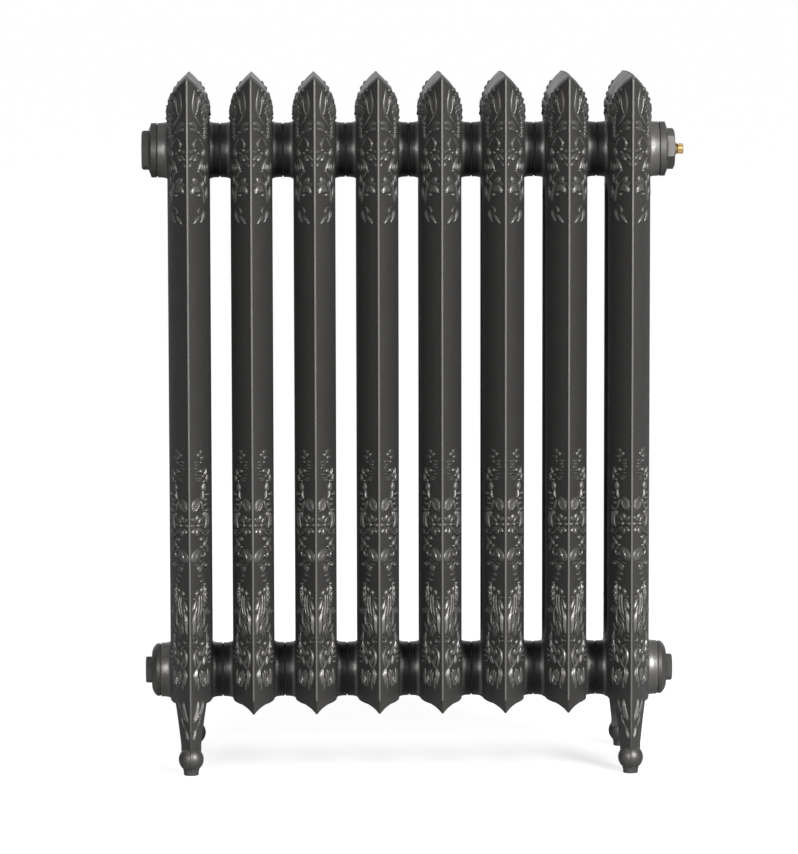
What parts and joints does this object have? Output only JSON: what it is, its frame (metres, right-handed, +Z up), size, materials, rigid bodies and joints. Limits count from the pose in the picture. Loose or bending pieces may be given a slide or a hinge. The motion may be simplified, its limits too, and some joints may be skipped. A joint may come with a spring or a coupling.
{
  "type": "column radiator",
  "caption": "Ornamental two-column cast iron radiator with pointed arch tops, ball feet, end plugs, valve bushes and a turning air vent.",
  "frame": {"origin": "on the floor, at the middle of the overall length and of the depth", "axes": "+Z up, +X along the row of sections towards the air vent, -Y is the front"},
  "size_m": [0.6166, 0.2058, 0.7941],
  "materials": {
    "section_iron": "satin",
    "plug_iron": "satin",
    "nipple_iron": "machined",
    "gasket_fibre": "matte",
    "vent_brass": "satin",
    "seal_rubber": "matte"
  },
  "bodies": {
    "radiator": {"bottom_gasket_1": "gasket_fibre", "bottom_gasket_2": "gasket_fibre", "bottom_gasket_3": "gasket_fibre", "bottom_gasket_4": "gasket_fibre", "bottom_gasket_5": "gasket_fibre", "bottom_gasket_6": "gasket_fibre", "bottom_gasket_7": "gasket_fibre", "bottom_left_bush": "plug_iron", "bottom_left_bush_gasket": "gasket_fibre", "bottom_nipple_1": "nipple_iron", "bottom_nipple_2": "nipple_iron", "bottom_nipple_3": "nipple_iron", "bottom_nipple_4": "nipple_iron", "bottom_nipple_5": "nipple_iron", "bottom_nipple_6": "nipple_iron", "bottom_nipple_7": "nipple_iron", "bottom_right_bush": "plug_iron", "bottom_right_bush_gasket": "gasket_fibre", "section_1": "section_iron", "section_2": "section_iron", "section_3": "section_iron", "section_4": "section_iron", "section_5": "section_iron", "section_6": "section_iron", "section_7": "section_iron", "section_8": "section_iron", "top_gasket_1": "gasket_fibre", "top_gasket_2": "gasket_fibre", "top_gasket_3": "gasket_fibre", "top_gasket_4": "gasket_fibre", "top_gasket_5": "gasket_fibre", "top_gasket_6": "gasket_fibre", "top_gasket_7": "gasket_fibre", "top_left_plug": "plug_iron", "top_left_plug_gasket": "gasket_fibre", "top_nipple_1": "nipple_iron", "top_nipple_2": "nipple_iron", "top_nipple_3": "nipple_iron", "top_nipple_4": "nipple_iron", "top_nipple_5": "nipple_iron", "top_nipple_6": "nipple_iron", "top_nipple_7": "nipple_iron", "top_right_plug": "plug_iron", "top_right_plug_gasket": "gasket_fibre", "vent_body": "vent_brass"},
    "vent_spindle": {"vent_spindle": "vent_brass", "vent_seal": "seal_rubber"}
  },
  "joints": [
    {"name": "vent_turn", "type": "hinge", "parent": "radiator", "child": "vent_spindle", "pos_m": [0.3013, 0, 0.705], "axis": [1, 0, 0], "range_deg": [0, 360]}
  ]
}
